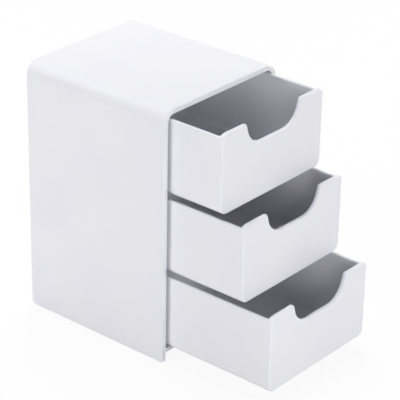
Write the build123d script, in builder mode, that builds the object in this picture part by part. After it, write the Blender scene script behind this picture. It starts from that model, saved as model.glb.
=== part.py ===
from build123d import *
import os

# Desk organizer: three drawers in a moulded casing, pulled out in steps. Millimetres, +Z up.
# The drawers face -Y. The origin is on the desk, at the middle of the space that the object
# takes up with its drawers as far out as they are modelled.

# Casing
case_width = 98.4
case_depth = 106.0
case_height = 160.0
case_wall = 3.3
case_corner = 8.5
case_inner_corner = 5.0
case_edge = 0.6
case_mouth_edge = 0.3
skirt_lift = 0.4
skirt_heel = 2.5
floor_underside = 5.8
floor_thickness = 2.6
floor_fillet = 1.6

# Drawers, from the lowest up, and how far each one is pulled out
drawer_names = ["drawer_bottom", "drawer_middle", "drawer_top"]
drawer_pulls = [75.5, 54.5, 38.0]
drawer_width = 89.2
drawer_length = 102.4
drawer_side_height = 47.0
drawer_front_height = 48.9
drawer_wall = 2.0
drawer_front_wall = 2.7
drawer_floor = 2.2
drawer_bottom_corner = 4.5
drawer_top_corner = 3.5
drawer_rear_corner = 1.2
drawer_inner_corner = 2.6
drawer_inner_fillet = 2.4
drawer_rim = 0.8
drawer_front_edge = 1.0
drawer_lift = 0.2

# Finger notch
notch_depth = 14.4
notch_top_width = 48.4
notch_side_slope = 0.3
notch_bottom_radius = 13.5
notch_lip_radius = 1.8
notch_clear = 1.0
notch_overrun = 1.0

# Moulding gate under each drawer: a dimple with the trimmed stub in it
gate_radius = 3.0
gate_depth = 0.5
gate_stub_radius = 0.8
gate_stub_height = 0.3

# Runners inside the casing
runner_width = 7.5
runner_thickness = 1.4
runner_setback = 10.0
runner_nose = 2.5

# Back panel and its snap beads
panel_thickness = 2.4
panel_gap = 0.2
panel_ledge = 1.5
panel_edge = 0.4
bead_radius = 0.6
bead_length = 18.0
bead_spread = 45.0
groove_slack = 0.15
groove_extra_length = 1.0

# Foot pads
pad_radius = 5.0
pad_taper = 0.6
pad_seat_depth = 0.6
pad_seat_gap = 0.1
pad_inset = 12.0
pad_edge = 0.5

# Worked out from the sizes above
case_front = max(drawer_pulls) / 2 - case_depth / 2
case_back = case_front + case_depth
inner_width = case_width - 2 * case_wall
inner_top = case_height - case_wall
floor_top = floor_underside + floor_thickness
bay_height = (inner_top - floor_top) / len(drawer_names)
bay_middle = (floor_top + inner_top) / 2
rebate_front = case_back - panel_thickness
rebate_grow = case_wall - panel_ledge
bead_middle = case_back - panel_thickness / 2


def xz(y):
    """Plane across the object at depth y: local x is X, local y is Z, and -amount extrudes towards +Y."""
    return Plane.XZ.offset(-y)


def opening(grow=0.0):
    """Cross-section of the casing's inside, grown on all sides."""
    with BuildSketch(Plane.XZ) as section:
        with Locations((0, bay_middle)):
            Rectangle(inner_width + 2 * grow, inner_top - floor_top + 2 * grow)
        fillet(section.vertices().group_by(Axis.Y)[-1], case_inner_corner + grow)
        fillet(section.vertices().group_by(Axis.Y)[0], floor_fillet + grow)
    return section.sketch_local


def finger_notch(grow=0.0):
    """Notch outline from the top of the drawer front down, with its lower corners rounded."""
    top = drawer_front_height
    half_top = notch_top_width / 2
    half_over = half_top + notch_side_slope * notch_overrun
    half_bottom = half_top - notch_side_slope * notch_depth
    with BuildSketch(Plane.XZ) as notch:
        with BuildLine():
            Polyline(
                (-half_over, top + notch_overrun),
                (-half_bottom, top - notch_depth),
                (half_bottom, top - notch_depth),
                (half_over, top + notch_overrun),
                close=True,
            )
        make_face()
        fillet(notch.vertices().group_by(Axis.Y)[0], notch_bottom_radius)
        if grow:
            offset(amount=grow)
    return notch.sketch_local


def bead_places(radius, length):
    """Upright rods on the back panel's side edges, two to a side: beads, or the grooves they snap into."""
    edge = inner_width / 2 + rebate_grow - panel_gap
    with BuildPart() as rods:
        for side in (-1, 1):
            for level in (bay_middle - bead_spread, bay_middle + bead_spread):
                with BuildSketch(Plane.XY.offset(level - length / 2)):
                    with Locations((side * edge, bead_middle)):
                        Circle(radius)
                extrude(amount=length)
    return rods.part


# Casing: one moulded sleeve, open at the front and the back
with BuildPart() as case_shell:
    with BuildSketch(xz(case_front)) as case_outline:
        with Locations((0, skirt_lift)):
            Rectangle(case_width, case_height - skirt_lift, align=(Align.CENTER, Align.MIN))
        fillet(case_outline.vertices().group_by(Axis.Y)[-1], case_corner)
        add(opening(), mode=Mode.SUBTRACT)
        with Locations((0, skirt_lift)):
            Rectangle(
                inner_width,
                floor_underside - skirt_lift,
                align=(Align.CENTER, Align.MIN),
                mode=Mode.SUBTRACT,
            )
    extrude(amount=-case_depth)
    mouth = case_shell.faces().sort_by(Axis.Y)[0]
    fillet(mouth.inner_wires()[0].edges(), case_mouth_edge)
    mouth = case_shell.faces().sort_by(Axis.Y)[0]
    fillet(mouth.outer_wire().edges(), case_edge)

    # the skirts' heels are rounded
    heels = case_shell.edges().filter_by(Axis.X).group_by(Axis.Y)[-1].group_by(Axis.Z)[0]
    fillet(heels, skirt_heel)

    # two pairs of runners, set back from the front, with rounded noses
    for level in range(1, len(drawer_names)):
        top = floor_top + level * bay_height
        with BuildSketch(Plane.XY.offset(top)) as runners:
            for side in (-1, 1):
                with Locations((side * (inner_width - runner_width) / 2, case_front + runner_setback)):
                    Rectangle(
                        runner_width + case_edge,
                        case_depth - runner_setback - panel_thickness,
                        align=(Align.CENTER, Align.MIN),
                    )
            noses = runners.vertices().group_by(Axis.Y)[0].sort_by(Axis.X)[1:-1]
            fillet(noses, runner_nose)
        extrude(amount=-runner_thickness)

    # rebate at the back, with grooves for the panel's beads
    with BuildSketch(xz(rebate_front)):
        add(opening(rebate_grow))
    extrude(amount=-panel_thickness, mode=Mode.SUBTRACT)
    add(bead_places(bead_radius + groove_slack, bead_length + groove_extra_length), mode=Mode.SUBTRACT)

    # seats for the foot pads
    with BuildSketch(Plane.XY.offset(floor_underside)) as pad_seats:
        with Locations((0, (case_front + case_back) / 2)):
            with GridLocations(case_width - 2 * pad_inset, case_depth - 2 * pad_inset, 2, 2):
                Circle(pad_radius + pad_seat_gap)
    extrude(amount=pad_seat_depth, mode=Mode.SUBTRACT)


# Back panel: a plate in the rebate, flush with the casing's rear edges
with BuildPart() as back_panel:
    with BuildSketch(xz(rebate_front)):
        add(opening(rebate_grow - panel_gap))
    extrude(amount=-panel_thickness)
    chamfer(back_panel.faces().sort_by(Axis.Y)[-1].edges(), panel_edge)
    add(bead_places(bead_radius, bead_length))


# Drawer front: a plate with the finger notch, its edges rounded on both faces, more so on the outer one
with BuildPart() as drawer_front:
    with BuildSketch(Plane.XZ) as front_outline:
        Rectangle(drawer_width, drawer_front_height, align=(Align.CENTER, Align.MIN))
        fillet(front_outline.vertices().group_by(Axis.Y)[0], drawer_bottom_corner)
        fillet(front_outline.vertices().group_by(Axis.Y)[-1], drawer_top_corner)
        add(finger_notch(), mode=Mode.SUBTRACT)
        lips = front_outline.vertices().group_by(Axis.Y)[-1].sort_by(Axis.X)[1:-1]
        fillet(lips, notch_lip_radius)
    extrude(amount=-drawer_front_wall)
    fillet(drawer_front.faces().sort_by(Axis.Y)[0].edges(), drawer_front_edge)
    fillet(drawer_front.faces().sort_by(Axis.Y)[-1].edges(), drawer_rim)


# Drawer tub: sides, rear wall and floor, with a rounded rim, fused to the front plate
with BuildPart() as drawer_tub:
    tub_front = drawer_front_wall / 2
    with BuildSketch(xz(tub_front)) as tub_outline:
        Rectangle(drawer_width, drawer_side_height, align=(Align.CENTER, Align.MIN))
        fillet(tub_outline.vertices().group_by(Axis.Y)[0], drawer_bottom_corner)
    extrude(amount=-(drawer_length - tub_front))
    rear = drawer_tub.faces().sort_by(Axis.Y)[-1]
    fillet(rear.edges().sort_by(Axis.Z)[:-1], drawer_rear_corner)
    with BuildSketch(Plane.XY.offset(drawer_side_height)):
        with Locations((0, (drawer_front_wall + drawer_length - drawer_wall) / 2)):
            RectangleRounded(
                drawer_width - 2 * drawer_wall,
                drawer_length - drawer_front_wall - drawer_wall,
                drawer_inner_corner,
            )
    extrude(amount=-(drawer_side_height - drawer_floor), mode=Mode.SUBTRACT)
    floor_edges = drawer_tub.faces().filter_by(Axis.Z).sort_by(Axis.Z)[1].edges()
    fillet(floor_edges, drawer_inner_fillet)
    rim = drawer_tub.faces().filter_by(Axis.Z).sort_by(Axis.Z)[-1]
    fillet(rim.inner_wires()[0].edges(), drawer_rim)
    rim = drawer_tub.faces().filter_by(Axis.Z).sort_by(Axis.Z)[-1]
    outer_rim = rim.outer_wire().edges().sort_by(Axis.Y)[1:]
    fillet(outer_rim, drawer_rim)

    # the front plate's rounded notch stands free of the wall behind it
    with BuildSketch(xz(tub_front)):
        add(finger_notch(notch_clear))
    extrude(amount=-tub_front, mode=Mode.SUBTRACT)

    # the moulding gate, in the middle of the underside
    gate_place = Location((0, drawer_length / 2))
    with BuildSketch() as gate_dimple:
        with Locations(gate_place):
            Circle(gate_radius)
    extrude(amount=gate_depth, mode=Mode.SUBTRACT)
    with BuildSketch(Plane.XY.offset(gate_depth)) as gate_stub:
        with Locations(gate_place):
            Circle(gate_stub_radius)
    extrude(amount=-gate_stub_height)

with BuildPart() as drawer:
    add(drawer_tub.part)
    add(drawer_front.part)


# Foot pad: a turned rubber plug, seated under the floor, on which the object stands
with BuildPart() as foot_pad:
    with BuildSketch() as pad_sole:
        Circle(pad_radius - pad_taper)
    with BuildSketch(Plane.XY.offset(floor_underside)) as pad_top:
        Circle(pad_radius)
    loft()
    with BuildSketch(Plane.XY.offset(floor_underside)):
        Circle(pad_radius)
    extrude(amount=pad_seat_depth)
    chamfer(foot_pad.edges().sort_by(Axis.Z)[0], pad_edge)


def write(part, name):
    """Label a finished piece and write its STEP file."""
    part.label = name
    export_step(part, f"parts/{name}.step")


os.makedirs("parts", exist_ok=True)
write(case_shell.part, "case_shell")
write(back_panel.part, "back_panel")
for level, (name, pull) in enumerate(zip(drawer_names, drawer_pulls)):
    height = floor_top + level * bay_height + drawer_lift
    write(drawer.part.moved(Location((0, case_front - pull, height))), name)
for depth, end in (case_front + pad_inset, "front"), (case_back - pad_inset, "rear"):
    for side, hand in (-1, "left"), (1, "right"):
        x = side * (case_width / 2 - pad_inset)
        write(foot_pad.part.moved(Location((x, depth))), f"foot_pad_{end}_{hand}")
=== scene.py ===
import math

import bmesh
import bpy
from mathutils import Matrix, Vector


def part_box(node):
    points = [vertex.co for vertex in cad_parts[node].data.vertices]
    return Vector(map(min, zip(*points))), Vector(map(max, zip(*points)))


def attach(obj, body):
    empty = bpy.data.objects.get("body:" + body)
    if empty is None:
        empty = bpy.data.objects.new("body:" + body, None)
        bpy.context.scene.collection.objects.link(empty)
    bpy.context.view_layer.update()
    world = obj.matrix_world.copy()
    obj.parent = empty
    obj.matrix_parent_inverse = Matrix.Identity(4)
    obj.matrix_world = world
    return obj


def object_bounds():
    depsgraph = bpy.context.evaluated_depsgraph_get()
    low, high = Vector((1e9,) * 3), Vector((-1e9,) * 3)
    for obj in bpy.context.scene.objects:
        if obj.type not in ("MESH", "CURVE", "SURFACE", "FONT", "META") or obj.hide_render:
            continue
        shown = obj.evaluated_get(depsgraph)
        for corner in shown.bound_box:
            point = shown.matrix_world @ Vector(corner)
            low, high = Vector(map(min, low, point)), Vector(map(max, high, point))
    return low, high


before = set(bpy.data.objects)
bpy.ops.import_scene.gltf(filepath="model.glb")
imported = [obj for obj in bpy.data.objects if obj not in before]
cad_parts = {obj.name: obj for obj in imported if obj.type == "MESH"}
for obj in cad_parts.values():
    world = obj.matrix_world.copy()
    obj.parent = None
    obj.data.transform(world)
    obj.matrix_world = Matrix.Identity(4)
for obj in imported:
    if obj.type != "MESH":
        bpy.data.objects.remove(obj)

bl_info = {
    "name": "Desk organizer",
    "version": (1, 0, 0),
    "blender": (4, 5, 0),
    "location": "3D View > Sidebar > Organizer",
    "description": "Finishes the mouldings of a three-drawer desk organizer and sets up its studio",
    "category": "Object",
}

# The box of the object at rest, in metres, with +Z up. The drawers pull out towards -Y.
OBJECT_LOW, OBJECT_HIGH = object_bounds()
MM = 0.001

# Each drawer, with the body that its pin marks ride on.
DRAWERS = {
    "drawer_bottom": "lower_drawer",
    "drawer_middle": "middle_drawer",
    "drawer_top": "upper_drawer",
}
FOOT_PADS = sorted(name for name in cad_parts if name.startswith("foot_pad"))

# How far inside a moulding's box the faces start that its core shaped. At the sides and the
# bottom that is within the thickness of the wall. At the top it leaves a drawer's rims polished.
CASING_CORE_DEPTH = 2.5 * MM
DRAWER_CORE_DEPTH = 1.6 * MM
DRAWER_RIM_DEPTH = 4 * MM
# Over this width at the edge of the core the finish turns from satin to polished.
CORE_EDGE = 0.3 * MM

# ABS: how wide the spots of each pattern are, and how far its bumps stand.
PIGMENT_CLOUD = 35 * MM
POLISH_PATCH = 18 * MM
SHRINKAGE_WAVE, SHRINKAGE_HEIGHT = 22 * MM, 0.03 * MM
ORANGE_PEEL, ORANGE_PEEL_HEIGHT = 1.2 * MM, 0.002 * MM
SPARK_GRAIN, SPARK_GRAIN_HEIGHT = 0.5 * MM, 0.006 * MM
# How far the roughness strays from its setting, either way.
POLISH_SPREAD = 0.01
SPARK_GRAIN_SPREAD = 0.05
ABS_IOR = 1.54

# Silicone: the same for its dust, and how much of the way to white the dust takes the colour.
DUST_SPOT, DUST_HEIGHT = 0.8 * MM, 0.01 * MM
DUST_WHITENING = 0.12
CLEAN_ROUGHNESS, DUSTY_ROUGHNESS = 0.55, 0.72
SILICONE_IOR = 1.41

# Most of a noise's values lie in this range, which each pattern spreads over its own.
NOISE_RANGE = {"From Min": 0.3, "From Max": 0.7}

# A pin mark: sides of its circle, depth of its root in the floor, and the radius of its
# rounded rim, which takes up no more than a share of its height.
PIN_SIDES = 48
PIN_ROOT = 0.3 * MM
PIN_RIM, PIN_RIM_SHARE = 0.12 * MM, 0.8
# The middle of a quarter round lies about this share of its radius in from the square corner.
ROUND_INSET = 0.3

# The table: from its middle to its edges, how far it lies below the soles so that no faces
# coincide, the colour it shows, and the colour of the light that it throws back.
TABLE_REACH = 6.0
TABLE_CLEARANCE = 0.05 * MM
TABLE_COLOUR = "#F4F4F4"
TABLE_BOUNCE = "#CDCDCD"

# Each softbox's heading from +Y towards +X and its height above the horizon, in degrees,
# and its watts.
SOFTBOXES = {
    "front_softbox": (-180, 10, 4.8),
    "corner_softbox": (-135, 10, 3.0),
    "left_softbox": (-68, 10, 5.15),
    "right_softbox": (90, 10, 3.6),
    "back_softbox": (0, 15, 3.7),
    "high_softbox": (45, 65, 7.0),
    "top_softbox": (0, 90, 2.1),
}

# Width of the camera's sensor in millimetres, and the nearest and farthest that it sees.
SENSOR_WIDTH = 36
NEAREST, FARTHEST = 0.05, 30


def linear(hex_colour):
    """An sRGB hex colour, such as "#ECECF1", as linear red, green and blue."""
    parts = [int(hex_colour[i : i + 2], 16) / 255 for i in (1, 3, 5)]
    return [p / 12.92 if p <= 0.04045 else ((p + 0.055) / 1.055) ** 2.4 for p in parts]


# ---------------------------------------------------------------- settings


class FinishSettings(bpy.types.PropertyGroup):
    """Colours and surfaces of the mouldings and pads."""

    abs_colour: bpy.props.FloatVectorProperty(
        name="ABS", description="White of the moulded parts",
        subtype="COLOR", size=3, min=0, max=1, default=linear("#F2F2F7"),
    )
    abs_cloud: bpy.props.FloatVectorProperty(
        name="ABS, thin pigment", description="White where the pigment is a little thinner",
        subtype="COLOR", size=3, min=0, max=1, default=linear("#F0F0F6"),
    )
    rubber_colour: bpy.props.FloatVectorProperty(
        name="Silicone", description="Grey of the foot pads",
        subtype="COLOR", size=3, min=0, max=1, default=linear("#B9BABC"),
    )
    cavity_roughness: bpy.props.FloatProperty(
        name="Outer roughness", description="Surface moulded against the polished cavity",
        subtype="FACTOR", min=0, max=1, default=0.30,
    )
    core_roughness: bpy.props.FloatProperty(
        name="Inner roughness", description="Surface moulded against the spark-eroded core",
        subtype="FACTOR", min=0, max=1, default=0.48,
    )


class MarkSettings(bpy.types.PropertyGroup):
    """Witness marks that the ejector pins leave on the drawers' floors: low round lands."""

    pin_diameter: bpy.props.FloatProperty(
        name="Pin diameter", description="Diameter of an ejector pin",
        subtype="DISTANCE", unit="LENGTH", min=0.001, max=0.02, default=6 * MM,
    )
    pin_height: bpy.props.FloatProperty(
        name="Mark height", description="How far a mark stands above the floor",
        subtype="DISTANCE", unit="LENGTH", min=0.00005, max=0.001, default=0.15 * MM,
    )
    pin_inset: bpy.props.FloatProperty(
        name="Inset", description="From a drawer's outer sides to the middle of the nearest marks",
        subtype="DISTANCE", unit="LENGTH", min=0.005, max=0.03, default=15 * MM,
    )
    floor_thickness: bpy.props.FloatProperty(
        name="Drawer floor", description="Thickness of a drawer's floor",
        subtype="DISTANCE", unit="LENGTH", min=0.0005, max=0.01, default=2.2 * MM,
    )


class StageSettings(bpy.types.PropertyGroup):
    """Camera, lights and table."""

    azimuth: bpy.props.FloatProperty(
        name="Azimuth", description="Heading of the view, from +Y towards +X",
        subtype="ANGLE", default=math.radians(50.21),
    )
    elevation: bpy.props.FloatProperty(
        name="Elevation", description="Height of the camera above the horizon",
        subtype="ANGLE", default=math.radians(26.61),
    )
    roll: bpy.props.FloatProperty(
        name="Roll", description="Turn of the camera about its line of sight",
        subtype="ANGLE", default=math.radians(1.12),
    )
    distance: bpy.props.FloatProperty(
        name="Distance", description="From the aim point to the camera",
        subtype="DISTANCE", unit="LENGTH", min=0.3, max=5, default=1.1037,
    )
    aim: bpy.props.FloatVectorProperty(
        name="Aim", description="Point at the middle of the view",
        subtype="XYZ", unit="LENGTH", size=3, default=(0.0004, -0.0003, 0.0832),
    )
    lens: bpy.props.FloatProperty(
        name="Focal length", description="Focal length on a 36 mm sensor",
        unit="CAMERA", min=20, max=400, default=169.5,
    )
    light_level: bpy.props.FloatProperty(
        name="Light level", description="Power of all the softboxes, as a share of the plain one",
        subtype="FACTOR", min=0, max=10, default=1.0,
    )
    softbox_width: bpy.props.FloatProperty(
        name="Softbox width", description="Diameter of a softbox",
        subtype="DISTANCE", unit="LENGTH", min=0.05, max=2, default=0.5,
    )
    softbox_distance: bpy.props.FloatProperty(
        name="Softbox distance", description="From the aim point to a softbox",
        subtype="DISTANCE", unit="LENGTH", min=0.4, max=5, default=1.1,
    )
    card_tone: bpy.props.FloatProperty(
        name="Shadow on the table", description="Share of the shadow that shows on the white table",
        subtype="FACTOR", min=0, max=1, default=0.08,
    )


# --------------------------------------------------------------- materials


def add_node(tree, kind, inputs=None, **settings):
    """Add a node with its settings. An input takes a value, or a link from another's output."""
    made = tree.nodes.new(kind)
    for name, value in settings.items():
        setattr(made, name, value)
    for name, value in (inputs or {}).items():
        if isinstance(value, bpy.types.NodeSocket):
            tree.links.new(value, made.inputs[name])
        else:
            made.inputs[name].default_value = value
    return made


def new_material(name):
    """A material with an empty node tree, and its output node."""
    material = bpy.data.materials.new(name)
    material.use_nodes = True
    material.node_tree.nodes.clear()
    return material, material.node_tree, add_node(material.node_tree, "ShaderNodeOutputMaterial")


def inside_mask(tree, place, low, high):
    """1 inside the box from low to high, falling to 0 over CORE_EDGE outside it."""
    split = add_node(tree, "ShaderNodeSeparateXYZ", {"Vector": place})
    shares = []
    for axis, low_side, high_side in zip("XYZ", low, high):
        middle, half = (low_side + high_side) / 2, (high_side - low_side) / 2
        offset = add_node(
            tree, "ShaderNodeMath", {0: split.outputs[axis], 1: middle}, operation="SUBTRACT"
        )
        away = add_node(tree, "ShaderNodeMath", {0: offset.outputs[0]}, operation="ABSOLUTE")
        share = add_node(tree, "ShaderNodeMapRange", {
            "Value": away.outputs[0],
            "From Min": half, "From Max": half + CORE_EDGE, "To Min": 1.0, "To Max": 0.0,
        })
        shares.append(share.outputs["Result"])
    in_plan = add_node(tree, "ShaderNodeMath", {0: shares[0], 1: shares[1]}, operation="MULTIPLY")
    inside = add_node(
        tree, "ShaderNodeMath", {0: in_plan.outputs[0], 1: shares[2]}, operation="MULTIPLY"
    )
    return inside.outputs[0]


def moulded_abs(name, finish, core_box=None):
    """White ABS, injection-moulded: opaque and hard, glossy outside and satin where the core was.

    Its outer faces come off a polished cavity, so they mirror the room softly, and the mirror
    image wavers. Faces inside core_box come off a spark-eroded core, whose fine grain dulls them.
    """
    material, tree, output = new_material(name)
    place = add_node(tree, "ShaderNodeTexCoord").outputs["Object"]

    # The pigment is spread a little unevenly, in clouds.
    clouds = add_node(tree, "ShaderNodeTexNoise", {
        "Vector": place, "Scale": 1 / PIGMENT_CLOUD, "Detail": 0.0,
    })
    thinness = add_node(tree, "ShaderNodeMapRange", {
        **NOISE_RANGE, "Value": clouds.outputs["Fac"], "To Min": 0, "To Max": 1,
    })
    colour = add_node(tree, "ShaderNodeMix", {
        "Factor": thinness.outputs["Result"],
        "A": (*finish.abs_colour, 1), "B": (*finish.abs_cloud, 1),
    }, data_type="RGBA")

    # The polish differs a little from place to place.
    patches = add_node(tree, "ShaderNodeTexNoise", {
        "Vector": place, "Scale": 1 / POLISH_PATCH, "Detail": 0.0,
    })
    roughness = add_node(tree, "ShaderNodeMapRange", {
        **NOISE_RANGE, "Value": patches.outputs["Fac"],
        "To Min": finish.cavity_roughness - POLISH_SPREAD,
        "To Max": finish.cavity_roughness + POLISH_SPREAD,
    })

    # Slow waves, which the plastic takes as it shrinks, and the orange peel of polished steel.
    waves = add_node(tree, "ShaderNodeTexNoise", {
        "Vector": place, "Scale": 1 / SHRINKAGE_WAVE, "Detail": 0.0,
    })
    bump = add_node(tree, "ShaderNodeBump", {
        "Height": waves.outputs["Fac"], "Strength": 1.0, "Distance": SHRINKAGE_HEIGHT,
    })
    peel = add_node(tree, "ShaderNodeTexNoise", {
        "Vector": place, "Scale": 1 / ORANGE_PEEL, "Detail": 1.0,
    })
    bump = add_node(tree, "ShaderNodeBump", {
        "Height": peel.outputs["Fac"], "Strength": 1.0, "Distance": ORANGE_PEEL_HEIGHT,
        "Normal": bump.outputs["Normal"],
    })

    if core_box:
        # Spark erosion leaves a grain of about 0.1 mm, drawn as coarse as it needs to show.
        core = inside_mask(tree, place, *core_box)
        grain = add_node(tree, "ShaderNodeTexNoise", {
            "Vector": place, "Scale": 1 / SPARK_GRAIN, "Detail": 1.0,
        })
        satin = add_node(tree, "ShaderNodeMapRange", {
            **NOISE_RANGE, "Value": grain.outputs["Fac"],
            "To Min": finish.core_roughness - SPARK_GRAIN_SPREAD,
            "To Max": finish.core_roughness + SPARK_GRAIN_SPREAD,
        })
        roughness = add_node(tree, "ShaderNodeMix", {
            "Factor": core, "A": roughness.outputs["Result"], "B": satin.outputs["Result"],
        })
        depth = add_node(
            tree, "ShaderNodeMath", {0: core, 1: grain.outputs["Fac"]}, operation="MULTIPLY"
        )
        bump = add_node(tree, "ShaderNodeBump", {
            "Height": depth.outputs[0], "Strength": 1.0, "Distance": SPARK_GRAIN_HEIGHT,
            "Normal": bump.outputs["Normal"],
        })

    shader = add_node(tree, "ShaderNodeBsdfPrincipled", {
        "Base Color": colour.outputs["Result"],
        "Roughness": roughness.outputs["Result"],
        "Normal": bump.outputs["Normal"],
        "IOR": ABS_IOR,
    })
    tree.links.new(shader.outputs["BSDF"], output.inputs["Surface"])
    return material


def cast_silicone(name, finish):
    """Pale silicone rubber, cast in open moulds: matt and soft, with fine dust in its skin."""
    material, tree, output = new_material(name)
    place = add_node(tree, "ShaderNodeTexCoord").outputs["Object"]
    clean = finish.rubber_colour
    dusty = [c + DUST_WHITENING * (1 - c) for c in clean]
    dust = add_node(tree, "ShaderNodeTexNoise", {
        "Vector": place, "Scale": 1 / DUST_SPOT, "Detail": 5.0,
    })
    dustiness = add_node(tree, "ShaderNodeMapRange", {
        **NOISE_RANGE, "Value": dust.outputs["Fac"], "To Min": 0, "To Max": 1,
    })
    colour = add_node(tree, "ShaderNodeMix", {
        "Factor": dustiness.outputs["Result"], "A": (*clean, 1), "B": (*dusty, 1),
    }, data_type="RGBA")
    roughness = add_node(tree, "ShaderNodeMapRange", {
        **NOISE_RANGE, "Value": dust.outputs["Fac"],
        "To Min": CLEAN_ROUGHNESS, "To Max": DUSTY_ROUGHNESS,
    })
    bump = add_node(tree, "ShaderNodeBump", {
        "Height": dust.outputs["Fac"], "Strength": 1.0, "Distance": DUST_HEIGHT,
    })
    shader = add_node(tree, "ShaderNodeBsdfPrincipled", {
        "Base Color": colour.outputs["Result"],
        "Roughness": roughness.outputs["Result"],
        "Normal": bump.outputs["Normal"],
        "IOR": SILICONE_IOR,
    })
    tree.links.new(shader.outputs["BSDF"], output.inputs["Surface"])
    return material


def set_material(thing, material):
    """Give an object one material, on the object itself, so that its mesh stays as it is."""
    for holder in thing.material_slots:
        holder.link = "OBJECT"
        holder.material = material
    if not thing.material_slots:
        thing.data.materials.append(material)


# --------------------------------------------------------------- operators


class ORGANIZER_OT_casing(bpy.types.Operator):
    """Finish the moulded casing and the panel that closes its back"""

    bl_idname = "organizer.casing"
    bl_label = "Finish casing"

    def execute(self, context):
        finish = context.scene.organizer_finish
        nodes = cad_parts
        low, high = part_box("case_shell")
        depth = CASING_CORE_DEPTH
        # the sleeve is open at the back, so its core reaches that end
        core_box = (
            low + Vector((depth, depth, depth)),
            high - Vector((depth, 0, depth)),
        )
        set_material(nodes["case_shell"], moulded_abs("abs_casing", finish, core_box))
        set_material(nodes["back_panel"], moulded_abs("abs_back_panel", finish))
        return {"FINISHED"}


class ORGANIZER_OT_drawers(bpy.types.Operator):
    """Finish the drawers: polished outside, satin inside"""

    bl_idname = "organizer.drawers"
    bl_label = "Finish drawers"

    def execute(self, context):
        finish = context.scene.organizer_finish
        depth = DRAWER_CORE_DEPTH
        for name in DRAWERS:
            low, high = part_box(name)
            core_box = (
                low + Vector((depth, depth, depth)),
                high - Vector((depth, depth, DRAWER_RIM_DEPTH)),
            )
            set_material(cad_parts[name], moulded_abs("abs_" + name, finish, core_box))
        return {"FINISHED"}


class ORGANIZER_OT_foot_pads(bpy.types.Operator):
    """Finish the foot pads"""

    bl_idname = "organizer.foot_pads"
    bl_label = "Finish foot pads"

    def execute(self, context):
        rubber = cast_silicone("silicone_foot_pad", context.scene.organizer_finish)
        for name in FOOT_PADS:
            set_material(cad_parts[name], rubber)
        return {"FINISHED"}


class ORGANIZER_OT_pin_marks(bpy.types.Operator):
    """Add the marks of the ejector pins to the drawers' floors"""

    bl_idname = "organizer.pin_marks"
    bl_label = "Add pin marks"

    def execute(self, context):
        marks = context.scene.organizer_marks
        for name, body in DRAWERS.items():
            low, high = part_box(name)
            middle = (low + high) / 2
            floor = low.z + marks.floor_thickness
            shape = bmesh.new()
            for x in (low.x + marks.pin_inset, high.x - marks.pin_inset):
                for y in (low.y + marks.pin_inset, middle.y, high.y - marks.pin_inset):
                    add_pin_mark(shape, Vector((x, y, floor)), marks)
            add_pin_mark(shape, Vector((middle.x, middle.y, floor)), marks)
            mesh = bpy.data.meshes.new("pin_marks_" + name)
            shape.to_mesh(mesh)
            shape.free()
            piece = bpy.data.objects.new("pin_marks_" + name, mesh)
            context.scene.collection.objects.link(piece)
            set_material(piece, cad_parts[name].material_slots[0].material)
            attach(piece, body)
        return {"FINISHED"}


def add_pin_mark(shape, place, marks):
    """A low round land at place on a floor, its rim rounded and its root sunk in the floor."""
    radius, top = marks.pin_diameter / 2, marks.pin_height
    rim = min(PIN_RIM, PIN_RIM_SHARE * top)
    profile = (
        (radius, -PIN_ROOT),
        (radius, top - rim),
        (radius - ROUND_INSET * rim, top - ROUND_INSET * rim),
        (radius - rim, top),
    )
    turns = [2 * math.pi * step / PIN_SIDES for step in range(PIN_SIDES)]
    rings = []
    for reach, height in profile:
        offsets = [Vector((reach * math.cos(a), reach * math.sin(a), height)) for a in turns]
        rings.append([shape.verts.new(place + offset) for offset in offsets])
    for lower, upper in zip(rings, rings[1:]):
        for i in range(PIN_SIDES):
            j = (i + 1) % PIN_SIDES
            shape.faces.new((lower[i], lower[j], upper[j], upper[i])).smooth = True
    shape.faces.new(rings[0][::-1])
    shape.faces.new(rings[-1])


class ORGANIZER_OT_stage(bpy.types.Operator):
    """Set up the table, the lights and the camera"""

    bl_idname = "organizer.stage"
    bl_label = "Set up stage"

    def execute(self, context):
        stage = context.scene.organizer_stage
        add_floor(stage)
        add_lights(stage)
        add_camera(stage)
        context.scene.view_settings.view_transform = "Standard"
        return {"FINISHED"}


# ------------------------------------------------------------------- stage


def seen_directly(tree):
    """1 for rays from the camera and those that gloss and glass pass on, 0 for scattered light."""
    path = add_node(tree, "ShaderNodeLightPath")
    seen = add_node(tree, "ShaderNodeMath", {
        0: path.outputs["Is Camera Ray"], 1: path.outputs["Is Glossy Ray"],
    }, operation="MAXIMUM")
    seen = add_node(tree, "ShaderNodeMath", {
        0: seen.outputs[0], 1: path.outputs["Is Transmission Ray"],
    }, operation="MAXIMUM")
    return seen.outputs[0]


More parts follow.
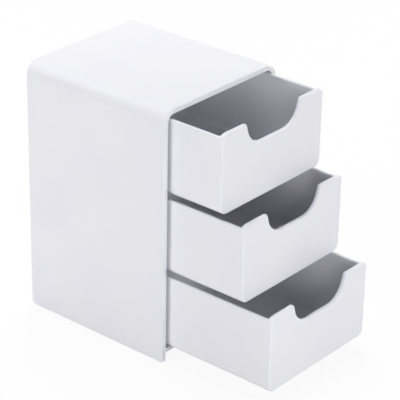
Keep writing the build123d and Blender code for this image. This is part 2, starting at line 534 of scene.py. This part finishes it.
def add_floor(stage):
    """A wide table, white to the eye, on which the shadow is kept but faint.

    It throws back less light than it shows, so that the object isn't lit from below.
    """
    mesh = bpy.data.meshes.new("floor")
    shape = bmesh.new()
    bmesh.ops.create_grid(shape, x_segments=1, y_segments=1, size=TABLE_REACH)
    shape.to_mesh(mesh)
    shape.free()
    floor = bpy.data.objects.new("floor", mesh)
    bpy.context.scene.collection.objects.link(floor)
    floor.location.z = OBJECT_LOW.z - TABLE_CLEARANCE

    # White card, matt: it glows as white as the room, and carries the shadow as a light tint.
    material, tree, output = new_material("white_card")
    card = add_node(tree, "ShaderNodeBsdfDiffuse", {"Color": (*linear(TABLE_COLOUR), 1)})
    bounce = add_node(tree, "ShaderNodeBsdfDiffuse", {"Color": (*linear(TABLE_BOUNCE), 1)})
    glow = add_node(tree, "ShaderNodeEmission", {"Color": (1, 1, 1, 1), "Strength": 1.0})
    shown = add_node(tree, "ShaderNodeMixShader", {
        "Fac": stage.card_tone, 1: glow.outputs["Emission"], 2: card.outputs["BSDF"],
    })
    mixed = add_node(tree, "ShaderNodeMixShader", {
        "Fac": seen_directly(tree), 1: bounce.outputs["BSDF"], 2: shown.outputs["Shader"],
    })
    tree.links.new(mixed.outputs["Shader"], output.inputs["Surface"])
    mesh.materials.append(material)


def direction(heading, height):
    """A unit vector at a heading from +Y towards +X and a height above the horizon, in radians."""
    return Vector((
        math.sin(heading) * math.cos(height),
        math.cos(heading) * math.cos(height),
        math.sin(height),
    ))


def add_lights(stage):
    """A white room that gives no light itself, with five low softboxes and two high ones.

    The softboxes are polarised: they give light but no glint, so the flat top never burns out,
    and the gloss of the mouldings shows the white room.
    """
    world = bpy.data.worlds.new("studio")
    bpy.context.scene.world = world
    world.use_nodes = True
    tree = world.node_tree
    tree.nodes.clear()
    room = add_node(tree, "ShaderNodeBackground", {
        "Color": (1, 1, 1, 1), "Strength": seen_directly(tree),
    })
    add_node(tree, "ShaderNodeOutputWorld", {"Surface": room.outputs["Background"]})

    for name, (heading, height, watts) in SOFTBOXES.items():
        away = direction(math.radians(heading), math.radians(height))
        lamp = bpy.data.lights.new(name, "AREA")
        lamp.shape = "DISK"
        lamp.size = stage.softbox_width
        lamp.energy = watts * stage.light_level
        light = bpy.data.objects.new(name, lamp)
        bpy.context.scene.collection.objects.link(light)
        light.location = Vector(stage.aim) + stage.softbox_distance * away
        light.rotation_mode = "QUATERNION"
        light.rotation_quaternion = away.to_track_quat("Z", "Y")
        light.visible_glossy = False


def add_camera(stage):
    """The camera, aimed by heading, height and distance, and turned about its line of sight."""
    sight = direction(stage.azimuth, -stage.elevation)
    level = Vector((math.cos(stage.azimuth), -math.sin(stage.azimuth), 0))
    right = Matrix.Rotation(-stage.roll, 3, sight) @ level
    up = right.cross(sight)
    turn = Matrix((right, up, -sight)).transposed().to_4x4()
    data = bpy.data.cameras.new("camera")
    data.lens = stage.lens
    data.sensor_width = SENSOR_WIDTH
    data.clip_start = NEAREST
    data.clip_end = FARTHEST
    camera = bpy.data.objects.new("camera", data)
    camera.matrix_world = Matrix.Translation(Vector(stage.aim) - sight * stage.distance) @ turn
    bpy.context.scene.collection.objects.link(camera)
    bpy.context.scene.camera = camera


# ------------------------------------------------------------------- panel


class ORGANIZER_PT_panel(bpy.types.Panel):
    """The organizer's sizes and colours, with a button for each step"""

    bl_idname = "ORGANIZER_PT_panel"
    bl_label = "Desk organizer"
    bl_space_type = "VIEW_3D"
    bl_region_type = "UI"
    bl_category = "Organizer"

    def draw(self, context):
        for name in GROUPS:
            settings = getattr(context.scene, name)
            box = self.layout.box()
            for key in settings.bl_rna.properties.keys():
                if key not in ("rna_type", "name"):
                    box.prop(settings, key)
        for operator in OPERATORS:
            self.layout.operator(operator.bl_idname)


GROUPS = {
    "organizer_finish": FinishSettings,
    "organizer_marks": MarkSettings,
    "organizer_stage": StageSettings,
}
OPERATORS = [
    ORGANIZER_OT_casing,
    ORGANIZER_OT_drawers,
    ORGANIZER_OT_foot_pads,
    ORGANIZER_OT_pin_marks,
    ORGANIZER_OT_stage,
]
CLASSES = [*GROUPS.values(), *OPERATORS, ORGANIZER_PT_panel]


def register():
    for kind in CLASSES:
        bpy.utils.register_class(kind)
    for name, kind in GROUPS.items():
        setattr(bpy.types.Scene, name, bpy.props.PointerProperty(type=kind))


def unregister():
    for name in GROUPS:
        delattr(bpy.types.Scene, name)
    for kind in reversed(CLASSES):
        bpy.utils.unregister_class(kind)


def main():
    register()
    bpy.ops.organizer.casing()
    bpy.ops.organizer.drawers()
    bpy.ops.organizer.foot_pads()
    bpy.ops.organizer.pin_marks()
    bpy.ops.organizer.stage()


if __name__ == "__main__":
    main()
